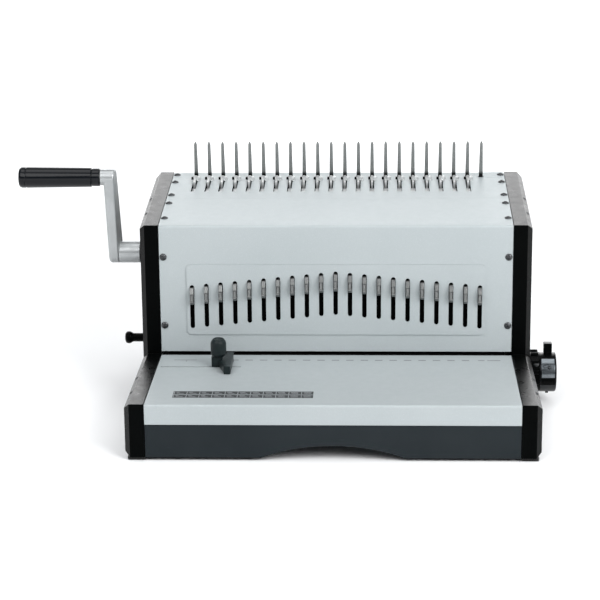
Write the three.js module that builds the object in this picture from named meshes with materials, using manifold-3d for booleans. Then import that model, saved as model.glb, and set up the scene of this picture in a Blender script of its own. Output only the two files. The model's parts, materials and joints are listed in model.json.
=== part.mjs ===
// Manual comb binding machine: a punch and comb opener driven by one side lever.
// Millimetres, +Z up. X runs along the paper edge (lever at -X), Y runs from the front to the back.
import * as THREE from 'three';
import Module from 'manifold-3d';
import { mergeVertices } from 'three/addons/utils/BufferGeometryUtils.js';

const wasm = await Module();
wasm.setup();

// ---------- driving dimensions ----------
const PITCH = 14.2875;            // 9/16 inch between comb holes
const PUNCHES = 21;
const PRONGS = 22;
const GAP = 0.3;                  // clearance between neighbouring pieces
const SHEET = 1.2;                // cover sheet thickness

const SILVER_HALF = 175;          // half width of the silver covers
const CHEEK_THICK = 19;
const CHEEK_CHAMFER = 5;
const CHEEK_WALL = 3;
const FOOT_HEIGHT = 3.2;
const TABLE_TOP = 55;
const TABLE_BACK = 159.5;
const FLANGE_BOTTOM = 35.5;
const PANEL_FRONT = 162;          // front face of the upright panel
const PANEL_BOTTOM = 58.2;
const FOLD_TOP = 187.3;           // fold between the panel and the sloping deck
const BACK = 331.2;               // rear face of the rear cover
const DECK_SLOPE = THREE.MathUtils.degToRad(6.37);
const FRONT_SEAM = 245.7;
const REAR_SEAM = 312.8;

const SHAFT_Y = 195;
const SHAFT_Z = 152.8;
const SHAFT_R = 6;
const MODULE = 2;
const TEETH = 13;
const PITCH_R = MODULE * TEETH / 2;
const PRESSURE_ANGLE = THREE.MathUtils.degToRad(22.5);
const ADDENDUM = 0.8 * MODULE;
const DEDENDUM = 1.15 * MODULE;
const BACKLASH = 0.5;             // flank clearance along the pitch line

const GRIP_Y = 170;               // lever grip axis at rest
const GRIP_Z = 234.6;

const DIE_FRONT = 166;
const DIE_BACK = 184;
const PIN_FRONT = 172;            // front face of the punch blades
const PIN_THICK = 3;
const PIN_WIDTH = 8;
const STAGGER = 1.4;              // drop of each punch towards the ends of the row
const BAR_BOTTOM = 118;
const GUIDE_TOP = 72;

const MARGIN_Y = 180;             // margin knob axis
const MARGIN_Z = 31.8;
const ECCENTRIC = 2.5;

const SELECTOR_Y = 180;           // selector knob axis
const SELECTOR_Z = 67.3;

const GUIDE_SLOT_Y = 119.5;       // slot of the paper edge guide
const GUIDE_KNOB_X = -114.3;

const GRIP_END = -311.8;          // outer end of the grip
const KNOB_END = 220.7;           // outer end of the margin knob
const CENTRE_X = (GRIP_END + KNOB_END) / 2;
const CHEEK_BACK = 332;
const CENTRE_Y = CHEEK_BACK / 2;

// ---------- colours and finishes ----------
const FINISH = {
  silver: { color: 0xc4cacd, roughness: 0.45, metalness: 0.3 },
  cheek: { color: 0x131516, roughness: 0.5, metalness: 0 },
  apron: { color: 0x282e32, roughness: 0.5, metalness: 0.1 },
  steel: { color: 0x9a9d9e, roughness: 0.35, metalness: 0.9 },
  cast: { color: 0xb9bdbf, roughness: 0.4, metalness: 0.7 },
  gloss: { color: 0x15181b, roughness: 0.2, metalness: 0 },
  brass: { color: 0xa8874a, roughness: 0.4, metalness: 0.9 },
  rubber: { color: 0x0c0c0c, roughness: 0.9, metalness: 0 },
};

// ---------- solids ----------
const AXES_X = new THREE.Matrix4().makeBasis(
  new THREE.Vector3(0, 1, 0), new THREE.Vector3(0, 0, 1), new THREE.Vector3(1, 0, 0));
const AXES_Y = new THREE.Matrix4().makeBasis(
  new THREE.Vector3(1, 0, 0), new THREE.Vector3(0, 0, 1), new THREE.Vector3(0, -1, 0));

function toSolid(geometry) {
  const plain = (geometry.index ? geometry.toNonIndexed() : geometry).clone();
  plain.deleteAttribute('normal');
  plain.deleteAttribute('uv');
  const merged = mergeVertices(plain, 1e-4);
  const vertProperties = new Float32Array(merged.attributes.position.array);
  const triVerts = new Uint32Array(merged.index.array);
  return new wasm.Manifold(new wasm.Mesh({ numProp: 3, vertProperties, triVerts }));
}

function toGeometry(solid) {
  const mesh = solid.getMesh();
  const geometry = new THREE.BufferGeometry();
  geometry.setAttribute('position', new THREE.BufferAttribute(mesh.vertProperties, 3));
  geometry.setIndex(new THREE.BufferAttribute(mesh.triVerts, 1));
  return geometry;
}

const join = (...pieces) => pieces.reduce((sum, piece) => sum.add(piece));
const cut = (solid, ...tools) => tools.reduce((rest, tool) => rest.subtract(tool), solid);

function box(x0, x1, y0, y1, z0, z1) {
  const geometry = new THREE.BoxGeometry(x1 - x0, y1 - y0, z1 - z0);
  geometry.translate((x0 + x1) / 2, (y0 + y1) / 2, (z0 + z1) / 2);
  return toSolid(geometry);
}

const shapeOf = (points) => new THREE.Shape(points.map(([a, b]) => new THREE.Vector2(a, b)));

// outline in Y and Z, run along X
function prismX(points, x0, x1) {
  const geometry = new THREE.ExtrudeGeometry(shapeOf(points), { depth: x1 - x0, bevelEnabled: false });
  geometry.applyMatrix4(AXES_X);
  geometry.translate(x0, 0, 0);
  return toSolid(geometry);
}

// outline in X and Z, run along Y
function prismY(points, y0, y1) {
  const geometry = new THREE.ExtrudeGeometry(shapeOf(points), { depth: y1 - y0, bevelEnabled: false });
  geometry.applyMatrix4(AXES_Y);
  geometry.translate(0, y1, 0);
  return toSolid(geometry);
}

// outline in X and Y, run along Z
function prismZ(points, z0, z1) {
  const geometry = new THREE.ExtrudeGeometry(shapeOf(points), { depth: z1 - z0, bevelEnabled: false });
  geometry.translate(0, 0, z0);
  return toSolid(geometry);
}

// profile of [radius, x] pairs turned about an axis along X
function turnedX(profile, y, z, sides = 24) {
  const points = profile.map(([radius, x]) => new THREE.Vector2(radius, x));
  const geometry = new THREE.LatheGeometry(points, sides);
  geometry.rotateZ(-Math.PI / 2);
  geometry.translate(0, y, z);
  return toSolid(geometry);
}

const rodX = (radius, x0, x1, y, z, sides = 24) =>
  turnedX([[0, x0], [radius, x0], [radius, x1], [0, x1]], y, z, sides);

function rodZ(radius, z0, z1, x, y, sides = 24) {
  const geometry = new THREE.CylinderGeometry(radius, radius, z1 - z0, sides);
  geometry.rotateX(Math.PI / 2);
  geometry.translate(x, y, (z0 + z1) / 2);
  return toSolid(geometry);
}

const arc = (cx, cy, radius, from, to, steps) => Array.from({ length: steps + 1 }, (_, i) => {
  const angle = THREE.MathUtils.degToRad(from + (to - from) * i / steps);
  return [cx + radius * Math.cos(angle), cy + radius * Math.sin(angle)];
});

function roundedRectangle(a0, a1, b0, b1, radius, steps = 4) {
  return [
    ...arc(a1 - radius, b0 + radius, radius, -90, 0, steps),
    ...arc(a1 - radius, b1 - radius, radius, 0, 90, steps),
    ...arc(a0 + radius, b1 - radius, radius, 90, 180, steps),
    ...arc(a0 + radius, b0 + radius, radius, 180, 270, steps),
  ];
}

const deckZ = (y) => FOLD_TOP + (y - PANEL_FRONT) * Math.tan(DECK_SLOPE);
const punchX = (index) => (index - (PUNCHES - 1) / 2) * PITCH;
const prongX = (index) => (index - (PRONGS - 1) / 2) * PITCH;
const stepsFromCentre = (index) => Math.abs(index - (PUNCHES - 1) / 2);
const mirrored = (solid) => solid.mirror([1, 0, 0]);

// ---------- the machine ----------
const machine = new THREE.Group();
machine.position.set(-CENTRE_X, -CENTRE_Y, 0);

function add(name, finish, solid) {
  const mesh = new THREE.Mesh(toGeometry(solid), new THREE.MeshStandardMaterial(FINISH[finish]));
  mesh.name = name;
  machine.add(mesh);
}

// ---------- side cheeks ----------
const CHEEK_PROUD = 0.4;          // how far the cheeks stand past the covers
const CHEEK_IN = SILVER_HALF + GAP;
const CHEEK_OUT = SILVER_HALF + CHEEK_THICK;
const SHAFT_HOLE_R = 7;
const SELECTOR_HOLE_R = 4.8;
const SPINDLE_R = 4;
const SPINDLE_HOLE_R = 4.5;

function cheekOutline(inset) {
  const front = inset;
  const back = CHEEK_BACK - inset;
  const bottom = FOOT_HEIGHT + inset;
  const step = TABLE_TOP + CHEEK_PROUD - inset;
  const face = PANEL_FRONT - CHEEK_PROUD + inset;
  const top = (y) => deckZ(y) + CHEEK_PROUD - inset;
  return [[front, bottom], [back, bottom], [back, top(back)], [face, top(face)], [face, step], [front, step]];
}

// the outer rim is chamfered all round, and the inside is open towards the frame plate
function cheekShell() {
  const body = new THREE.ExtrudeGeometry(shapeOf(cheekOutline(CHEEK_CHAMFER)), {
    depth: CHEEK_OUT - CHEEK_CHAMFER,
    bevelEnabled: true,
    bevelThickness: CHEEK_CHAMFER,
    bevelSize: CHEEK_CHAMFER,
    bevelSegments: 1,
  });
  body.applyMatrix4(AXES_X);
  const innerHalf = box(-CHEEK_CHAMFER - 1, CHEEK_IN, -10, CHEEK_BACK + 10, 0, 260);
  const pocket = prismX(cheekOutline(CHEEK_WALL), CHEEK_IN - 1, CHEEK_OUT - CHEEK_CHAMFER);
  return cut(toSolid(body), innerHalf, pocket);
}

function addCheeks() {
  const holeEnds = [CHEEK_IN - 5, CHEEK_OUT + 5];
  const spindleHole = rodX(SPINDLE_HOLE_R, ...holeEnds, MARGIN_Y, MARGIN_Z, 20);
  const shaftHole = rodX(SHAFT_HOLE_R, ...holeEnds, SHAFT_Y, SHAFT_Z, 24);
  const selectorHole = rodX(SELECTOR_HOLE_R, ...holeEnds, SELECTOR_Y, SELECTOR_Z, 20);
  add('right_cheek', 'cheek', cut(cheekShell(), spindleHole));
  add('left_cheek', 'cheek', mirrored(cut(cheekShell(), shaftHole, selectorHole)));
}

// ---------- steel side frames ----------
const FRAME_IN = 169;
const FRAME_OUT = 172;
const BUSHING_R = 9;

function addFramePlates() {
  const inset = 4;
  const outline = [
    [PANEL_FRONT + inset, 8],
    [BACK - inset, 8],
    [BACK - inset, deckZ(BACK - inset) - inset],
    [PANEL_FRONT + inset, deckZ(PANEL_FRONT + inset) - inset],
  ];
  const ends = [FRAME_IN - 1, FRAME_OUT + 1];
  const plate = prismX(outline, FRAME_IN, FRAME_OUT);
  const bushingHole = rodX(BUSHING_R + GAP, ...ends, SHAFT_Y, SHAFT_Z);
  const spindleHole = rodX(SPINDLE_HOLE_R, ...ends, MARGIN_Y, MARGIN_Z, 20);
  const selectorHole = rodX(SELECTOR_HOLE_R, ...ends, SELECTOR_Y, SELECTOR_Z, 20);
  add('right_frame_plate', 'steel', cut(plate, bushingHole, spindleHole));
  add('left_frame_plate', 'steel', mirrored(cut(plate, bushingHole, selectorHole)));
}

function addBushings() {
  const bore = SHAFT_R + GAP;
  const flangeIn = FRAME_IN - 3;
  const profile = [
    [bore, flangeIn], [BUSHING_R + 2, flangeIn], [BUSHING_R + 2, FRAME_IN - GAP],
    [BUSHING_R, FRAME_IN - GAP], [BUSHING_R, FRAME_OUT], [bore, FRAME_OUT], [bore, flangeIn],
  ];
  const bushing = turnedX(profile, SHAFT_Y, SHAFT_Z);
  add('right_bushing', 'brass', bushing);
  add('left_bushing', 'brass', mirrored(bushing));
}

// ---------- covers ----------
const COVER_HALF = SILVER_HALF - GAP / 2;
const SLOT_WIDTH = 4.5;
const SLOT_LENGTH = 44.7;
const SLOT_TOP = 141;             // top of the middle slot
const EMBOSS_HALF = 148.2;
const EMBOSS_BOTTOM = 76;
const EMBOSS_TOP = 147.7;
const EMBOSS_PROUD = 1.2;

const slotTop = (index) => SLOT_TOP - STAGGER * stepsFromCentre(index);

function addFrontCover() {
  const sheet = prismX([
    [PANEL_FRONT, PANEL_BOTTOM], [PANEL_FRONT + SHEET, PANEL_BOTTOM],
    [PANEL_FRONT + SHEET, deckZ(PANEL_FRONT + SHEET) - SHEET],
    [FRONT_SEAM - GAP / 2, deckZ(FRONT_SEAM) - SHEET],
    [FRONT_SEAM - GAP / 2, deckZ(FRONT_SEAM)],
    [PANEL_FRONT, FOLD_TOP],
  ], -COVER_HALF, COVER_HALF);
  const raised = prismY(
    roundedRectangle(-EMBOSS_HALF, EMBOSS_HALF, EMBOSS_BOTTOM, EMBOSS_TOP, 4),
    PANEL_FRONT - EMBOSS_PROUD, PANEL_FRONT + SHEET / 2);
  const hollow = prismY(
    roundedRectangle(-EMBOSS_HALF + 1, EMBOSS_HALF - 1, EMBOSS_BOTTOM + 1, EMBOSS_TOP - 1, 3),
    PANEL_FRONT + SHEET - EMBOSS_PROUD, PANEL_FRONT + SHEET + 1);
  let cover = cut(join(sheet, raised), hollow);
  for (let i = 0; i < PUNCHES; i++) {
    const x = punchX(i);
    const top = slotTop(i);
    const outline = roundedRectangle(
      x - SLOT_WIDTH / 2, x + SLOT_WIDTH / 2, top - SLOT_LENGTH, top, SLOT_WIDTH / 2 - 0.01, 3);
    cover = cut(cover, prismY(outline, PANEL_FRONT - 4, PANEL_FRONT + 4));
  }
  add('front_cover', 'silver', cover);
}

const HOOK_SLOT_FRONT = 267.4;
const HOOK_SLOT_BACK = 307;
const HOOK_SLOT_WIDTH = 4.6;
const HOOKS = PRONGS - 1;

function addHookDeck() {
  const front = FRONT_SEAM + GAP / 2;
  const back = REAR_SEAM - GAP / 2;
  let deck = prismX([
    [front, deckZ(front) - SHEET], [back, deckZ(back) - SHEET], [back, deckZ(back)], [front, deckZ(front)],
  ], -COVER_HALF, COVER_HALF);
  for (let i = 0; i < HOOKS; i++) {
    const x = prongX(i);
    const half = HOOK_SLOT_WIDTH / 2;
    deck = cut(deck, box(x - half, x + half, HOOK_SLOT_FRONT, HOOK_SLOT_BACK, 150, 250));
  }
  add('hook_deck', 'silver', deck);
}

const PRONG_Y = 314.8;            // prong root, at the level of the deck
const PRONG_LEAN = THREE.MathUtils.degToRad(6);
const PRONG_THICK = 1.8;
const REAR_COVER_BOTTOM = 40;

function addRearCover() {
  const front = REAR_SEAM + GAP / 2;
  let cover = prismX([
    [front, deckZ(front) - SHEET], [BACK - SHEET, deckZ(BACK - SHEET) - SHEET],
    [BACK - SHEET, REAR_COVER_BOTTOM], [BACK, REAR_COVER_BOTTOM], [BACK, deckZ(BACK)], [front, deckZ(front)],
  ], -COVER_HALF, COVER_HALF);
  for (let i = 0; i < PRONGS; i++) {
    const x = prongX(i);
    cover = cut(cover, box(x - 2.9, x + 2.9, PRONG_Y - 1.6, PRONG_Y + 2.0, 150, 250));
  }
  add('rear_cover', 'silver', cover);
}

// ---------- table and base ----------
const GUIDE_SLOT_LEFT = -172;
const GUIDE_SLOT_RIGHT = -92.4;
const GUIDE_SLOT_HALF = 1.4;

function addPaperTable() {
  const sheet = prismX([
    [0, FLANGE_BOTTOM], [SHEET, FLANGE_BOTTOM], [SHEET, TABLE_TOP - SHEET],
    [TABLE_BACK, TABLE_TOP - SHEET], [TABLE_BACK, TABLE_TOP], [0, TABLE_TOP],
  ], -COVER_HALF, COVER_HALF);
  const slot = box(
    GUIDE_SLOT_LEFT, GUIDE_SLOT_RIGHT, GUIDE_SLOT_Y - GUIDE_SLOT_HALF, GUIDE_SLOT_Y + GUIDE_SLOT_HALF, 50, 60);
  add('paper_table', 'silver', cut(sheet, slot));
}

const APRON_FRONT = 0.8;
const SHELF_TOP = 17.2;
const FLOOR_TOP = 5.4;
const RISER = 163;
const ARCH_HALF = 67;
const ARCH_RISE = 11.7;

function addBasePan() {
  const apronBack = APRON_FRONT + SHEET;
  const pan = prismX([
    [APRON_FRONT, FOOT_HEIGHT], [apronBack, FOOT_HEIGHT], [apronBack, SHELF_TOP - SHEET],
    [RISER, SHELF_TOP - SHEET], [RISER, FLOOR_TOP - SHEET], [BACK - 2, FLOOR_TOP - SHEET],
    [BACK - 2, FLOOR_TOP], [RISER + SHEET, FLOOR_TOP], [RISER + SHEET, SHELF_TOP],
    [apronBack, SHELF_TOP], [apronBack, FLANGE_BOTTOM - GAP], [APRON_FRONT, FLANGE_BOTTOM - GAP],
  ], -COVER_HALF, COVER_HALF);
  const radius = (ARCH_HALF ** 2 + ARCH_RISE ** 2) / (2 * ARCH_RISE);
  const centreZ = FOOT_HEIGHT + ARCH_RISE - radius;
  const halfAngle = THREE.MathUtils.radToDeg(Math.asin(ARCH_HALF / radius));
  const outline = [
    [ARCH_HALF, FOOT_HEIGHT - 2], ...arc(0, centreZ, radius, 90 - halfAngle, 90 + halfAngle, 24),
    [-ARCH_HALF, FOOT_HEIGHT - 2],
  ];
  add('base_pan', 'apron', cut(pan, prismY(outline, APRON_FRONT - 1, apronBack + 0.01)));
}

const TRAY_HALF = 144;
const TRAY_FRONT = 166;
const TRAY_TOP = 38;
const TRAY_WALL = 1.5;

function addChipTray() {
  const bottom = FLOOR_TOP + GAP;
  const back = BACK - 1;
  const shell = cut(
    box(-TRAY_HALF, TRAY_HALF, TRAY_FRONT, back, bottom, TRAY_TOP),
    box(-TRAY_HALF + TRAY_WALL, TRAY_HALF - TRAY_WALL, TRAY_FRONT + TRAY_WALL, back - TRAY_WALL,
      bottom + TRAY_WALL, TRAY_TOP + 1));
  const lip = box(-FRAME_IN + 2, FRAME_IN - 2, BACK - 1 - TRAY_WALL, back, bottom, REAR_COVER_BOTTOM - GAP);
  const fingerNotch = prismY(roundedRectangle(-28, 28, 26, 60, 8), back - 5, back + 5);
  add('chip_tray', 'cheek', cut(join(shell, lip), fingerNotch));
}

function addFeet() {
  const outline = roundedRectangle(-8.7, 8.7, -10, 10, 2);
  for (const [side, x] of [['left', -183], ['right', 183]]) {
    for (const [end, y] of [['front', 12.5], ['rear', CHEEK_BACK - 12.5]]) {
      add(`${side}_${end}_foot`, 'rubber', prismZ(outline, 0, FOOT_HEIGHT - 0.05).translate([x, y, 0]));
    }
  }
}

// ---------- punch ----------
const DIE_TOP = 54.6;
const DIE_BOTTOM = 46;
const GUIDE_BOTTOM = 58.7;
const TAB_TALL = 17;
const TAB_BELOW_SLOT = 2.4;
const TAB_HALF = 1.7;
const TAB_FRONT = 155;
const PIN_BOTTOM = 73.2;          // lower end of the middle punch

function punchHoles(solid, clearance) {
  let plate = solid;
  for (let i = 0; i < PUNCHES; i++) {
    const x = punchX(i);
    const half = PIN_WIDTH / 2 + clearance;
    plate = cut(plate, box(
      x - half, x + half, PIN_FRONT - clearance, PIN_FRONT + PIN_THICK + clearance, 0, 100));
  }
  return plate;
}

function addPunchGuides() {
  add('die_plate', 'steel',
    punchHoles(box(-FRAME_IN + GAP, FRAME_IN - GAP, DIE_FRONT, DIE_BACK, DIE_BOTTOM, DIE_TOP), GAP));
  add('punch_guide', 'steel',
    punchHoles(box(-158, 158, DIE_FRONT, DIE_BACK + 2, GUIDE_BOTTOM, GUIDE_TOP), GAP));
}

function addPunchPins() {
  for (let i = 0; i < PUNCHES; i++) {
    const x = punchX(i);
    const tabTop = slotTop(i) - TAB_BELOW_SLOT;
    const bottom = PIN_BOTTOM - STAGGER * stepsFromCentre(i);
    const blade = box(
      x - PIN_WIDTH / 2, x + PIN_WIDTH / 2, PIN_FRONT, PIN_FRONT + PIN_THICK, bottom, tabTop + 2);
    const tab = box(x - TAB_HALF, x + TAB_HALF, TAB_FRONT, PIN_FRONT + 1, tabTop - TAB_TALL, tabTop);
    add(`punch_pin_${String(i + 1).padStart(2, '0')}`, 'steel', join(blade, tab));
  }
}

const BAR_HALF = 149;
const BAR_FRONT = PIN_FRONT + PIN_THICK + GAP;
const BAR_BACK = 187;
const BAR_TOP = 139;
const PUNCH_RACK_X = [149.5, 156.5];
const PUNCH_RACK_BOTTOM = 126;
const PUNCH_RACK_TOP = 183;
const RAKE_RACK_X = [157.5, 164.5];
const RAKE_RACK_FRONT = 189.7;
const RAKE_FRONT = 284.3;
const RAKE_RACK_TOP = 175;

// straight rack in a plane: teeth along the first axis, pointing towards +second axis,
// with one gap centred on gapAt
function rackOutline(from, to, gapAt, pitchLine, back) {
  const step = Math.PI * MODULE;
  const slope = Math.tan(PRESSURE_ANGLE);
  const halfGap = step / 4 + BACKLASH / 2;
  const rootHalf = halfGap - DEDENDUM * slope;
  const tipHalf = halfGap + ADDENDUM * slope;
  const points = [[from, back], [to, back]];
  const last = Math.floor((to - tipHalf - 0.5 - gapAt) / step);
  const first = Math.ceil((from + tipHalf + 0.5 - gapAt) / step);
  points.push([to, pitchLine + ADDENDUM]);
  for (let n = last; n >= first; n--) {
    const centre = gapAt + n * step;
    points.push([centre + tipHalf, pitchLine + ADDENDUM]);
    points.push([centre + rootHalf, pitchLine - DEDENDUM]);
    points.push([centre - rootHalf, pitchLine - DEDENDUM]);
    points.push([centre - tipHalf, pitchLine + ADDENDUM]);
  }
  points.push([from, pitchLine + ADDENDUM]);
  return points;
}

function addPunchBar() {
  add('punch_bar', 'steel', box(-BAR_HALF, BAR_HALF, BAR_FRONT, BAR_BACK, BAR_BOTTOM, BAR_TOP));
  // teeth along Z, pointing back to the pinion
  const outline = rackOutline(
    PUNCH_RACK_BOTTOM, PUNCH_RACK_TOP, SHAFT_Z, SHAFT_Y - PITCH_R, PIN_FRONT).map(([z, y]) => [y, z]);
  const rack = prismX(outline.reverse(), ...PUNCH_RACK_X);
  add('right_punch_rack', 'steel', rack);
  add('left_punch_rack', 'steel', mirrored(rack));
}

// ---------- drive ----------
const PINION_X = [149.5, 165];

// involute flank: radius and angle from the tooth centre line
function pinionOutline() {
  const baseR = PITCH_R * Math.cos(PRESSURE_ANGLE);
  const involute = (angle) => Math.tan(angle) - angle;
  const halfTooth = Math.PI / (2 * TEETH);
  const rootR = PITCH_R - DEDENDUM;
  const tipR = PITCH_R + ADDENDUM;
  const flankSteps = 3;
  const flank = [[rootR, halfTooth + involute(PRESSURE_ANGLE)]];
  for (let i = 0; i <= flankSteps; i++) {
    const radius = baseR + (tipR - baseR) * i / flankSteps;
    const pressure = Math.acos(Math.min(1, baseR / radius));
    flank.push([radius, halfTooth + involute(PRESSURE_ANGLE) - involute(pressure)]);
  }
  const points = [];
  for (let tooth = 0; tooth < TEETH; tooth++) {
    // the first tooth points to the front, where it meets the punch rack
    const centre = Math.PI + tooth * 2 * Math.PI / TEETH;
    for (const [radius, half] of flank) {
      points.push([radius * Math.cos(centre - half), radius * Math.sin(centre - half)]);
    }
    for (const [radius, half] of [...flank].reverse()) {
      points.push([radius * Math.cos(centre + half), radius * Math.sin(centre + half)]);
    }
  }
  return points.map(([y, z]) => [SHAFT_Y + y, SHAFT_Z + z]);
}

const HUB_IN = CHEEK_OUT + 2.6;   // hub face beside the collar
const ARM_IN = 216.8;
const ARM_OUT = 228.2;
const HUB_R = 11;
const BOSS_R = 8;
const BOSS_OUT = 231.6;
const SPINDLE_LENGTH = 66;

function addDrive() {
  const pinion = cut(
    prismX(pinionOutline(), ...PINION_X),
    rodX(SHAFT_R + GAP, PINION_X[0] - 1, PINION_X[1] + 1, SHAFT_Y, SHAFT_Z));
  add('right_pinion', 'steel', pinion);
  add('left_pinion', 'steel', mirrored(pinion));
  add('drive_shaft', 'steel', rodX(SHAFT_R, -(ARM_IN - 4), FRAME_OUT, SHAFT_Y, SHAFT_Z));
  const collar = [
    [SHAFT_R + 0.5, CHEEK_OUT + GAP], [HUB_R - 0.4, CHEEK_OUT + GAP], [HUB_R - 0.4, HUB_IN - GAP],
    [SHAFT_R + 0.5, HUB_IN - GAP], [SHAFT_R + 0.5, CHEEK_OUT + GAP],
  ];
  add('handle_collar', 'rubber', mirrored(turnedX(collar, SHAFT_Y, SHAFT_Z)));
}

// outline in Y and Z around the hub and boss circles
function armOutline() {
  const dy = GRIP_Y - SHAFT_Y;
  const dz = GRIP_Z - SHAFT_Z;
  const lean = THREE.MathUtils.radToDeg(Math.atan2(dz, dy));
  const spread = THREE.MathUtils.radToDeg(Math.asin((HUB_R - BOSS_R) / Math.hypot(dy, dz)));
  return [
    ...arc(GRIP_Y, GRIP_Z, BOSS_R, lean - 90 + spread, lean + 90 - spread, 12),
    ...arc(SHAFT_Y, SHAFT_Z, HUB_R, lean + 90 - spread, lean + 270 + spread, 16),
  ];
}

function addHandle() {
  const arm = prismX(armOutline(), ARM_IN, ARM_OUT);
  const hub = rodX(HUB_R, HUB_IN, ARM_IN + 1, SHAFT_Y, SHAFT_Z, 32);
  const boss = rodX(BOSS_R, ARM_IN + 2, BOSS_OUT, GRIP_Y, GRIP_Z, 32);
  const spindle = rodX(SPINDLE_R, BOSS_OUT - 1, BOSS_OUT + SPINDLE_LENGTH, GRIP_Y, GRIP_Z, 20);
  const bore = rodX(SHAFT_R + GAP, HUB_IN - 1, ARM_IN - 4 + GAP, SHAFT_Y, SHAFT_Z);
  add('handle_arm', 'cast', mirrored(cut(join(arm, hub, boss, spindle), bore)));

  const gripIn = BOSS_OUT + GAP;
  const gripOut = -GRIP_END;
  const boreR = SPINDLE_R + 0.4;
  const boreEnd = BOSS_OUT + SPINDLE_LENGTH + 1;
  const grip = turnedX([
    [boreR, gripIn], [8.5, gripIn], [8.9, gripIn + 0.5], [8.9, gripIn + 6], [9.5, gripIn + 7.5],
    [10.4, gripOut - 6], [10.4, gripOut - 3], [9.5, gripOut - 0.6], [8.9, gripOut], [0, gripOut],
    [0, boreEnd], [boreR, boreEnd], [boreR, gripIn],
  ], GRIP_Y, GRIP_Z, 32);
  add('handle_grip', 'gloss', mirrored(grip));
}

// ---------- comb opener ----------
function addProngPlate() {
  const rootHalf = 2.15;
  const tipHalf = 1.6;
  const rise = 39;
  const point = 3;
  const barBottom = -22;
  const barTop = -3.6;
  let plate = prismY([[-163, barBottom], [163, barBottom], [163, barTop], [-163, barTop]],
    -PRONG_THICK / 2, PRONG_THICK / 2);
  for (let i = 0; i < PRONGS; i++) {
    const x = prongX(i);
    const outline = [
      [x - rootHalf, barTop - 1], [x + rootHalf, barTop - 1], [x + tipHalf, rise - point],
      [x + 0.5, rise], [x - 0.5, rise], [x - tipHalf, rise - point],
    ];
    plate = join(plate, prismY(outline, -PRONG_THICK / 2, PRONG_THICK / 2));
  }
  const leanDegrees = THREE.MathUtils.radToDeg(PRONG_LEAN);
  add('prong_plate', 'steel', plate.rotate([leanDegrees, 0, 0]).translate([0, PRONG_Y, deckZ(PRONG_Y)]));
}

function addHookRake() {
  const barTop = 180;
  const barBottom = 167.5;
  const barBack = 297;
  let rake = box(-RAKE_RACK_X[1], RAKE_RACK_X[1], RAKE_FRONT, barBack, barBottom, barTop);
  for (let i = 0; i < HOOKS; i++) {
    const x = prongX(i);
    const outline = [
      [288, barTop - 1], [296.5, barTop - 1], [296.5, 202], [304, 204.6], [305.4, 208.2], [303, 208.6],
      [297, 206.4], [288, 204.6],
    ];
    const hook = prismX(outline, x - 1.1, x + 1.1);
    const finger = box(x - 3.2, x + 4.6, 300.4, 303, 205, 207);
    // the stem stays under the deck as it slides past the slot's front end
    const stem = box(x - 2.2, x + 2.2, 280, 290, 193, 196.2);
    rake = join(rake, hook, finger, stem);
  }
  add('hook_rake', 'steel', rake);
  const gapAt = SHAFT_Y - Math.PI * MODULE / 4;
  // teeth along Y, pointing down to the pinion
  const outline = rackOutline(RAKE_RACK_FRONT, RAKE_FRONT - GAP, gapAt, -(SHAFT_Z + PITCH_R), -RAKE_RACK_TOP);
  const rack = prismX(outline.map(([y, z]) => [y, -z]).reverse(), ...RAKE_RACK_X);
  add('right_rake_rack', 'steel', rack);
  add('left_rake_rack', 'steel', mirrored(rack));
}

// ---------- return springs ----------
class Helix extends THREE.Curve {
  constructor(radius, turns, z0, z1) {
    super();
    Object.assign(this, { radius, turns, z0, z1 });
  }

  getPoint(t, target = new THREE.Vector3()) {
    const angle = 2 * Math.PI * this.turns * t;
    return target.set(
      this.radius * Math.cos(angle), this.radius * Math.sin(angle), this.z0 + (this.z1 - this.z0) * t);
  }
}

function addReturnSprings() {
  const wireR = 0.7;
  const turns = 6;
  const stepsPerTurn = 8;
  const section = new THREE.Shape(arc(0, 0, wireR, 0, 300, 5).map(([a, b]) => new THREE.Vector2(a, b)));
  const path = new Helix(3.6, turns, GUIDE_TOP + 1.2, BAR_BOTTOM - 1.2);
  const geometry = new THREE.ExtrudeGeometry(section, { steps: turns * stepsPerTurn, extrudePath: path });
  const spring = toSolid(geometry);
  const y = (BAR_FRONT + BAR_BACK) / 2;
  add('left_return_spring', 'steel', spring.translate([-135.7, y, 0]));
  add('right_return_spring', 'steel', spring.translate([135.7, y, 0]));
}

// ---------- selector, margin knob and stop ----------
function addSelector() {
  const stemR = 4.4;
  const profile = [
    [0, 160], [stemR, 160], [stemR, 206.5], [6, 207.8], [6.4, 210], [5.6, 212.6], [3.4, 213.6], [0, 213.6],
  ];
  add('selector_knob', 'cheek', mirrored(turnedX(profile, SELECTOR_Y, SELECTOR_Z, 24)));
}

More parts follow.
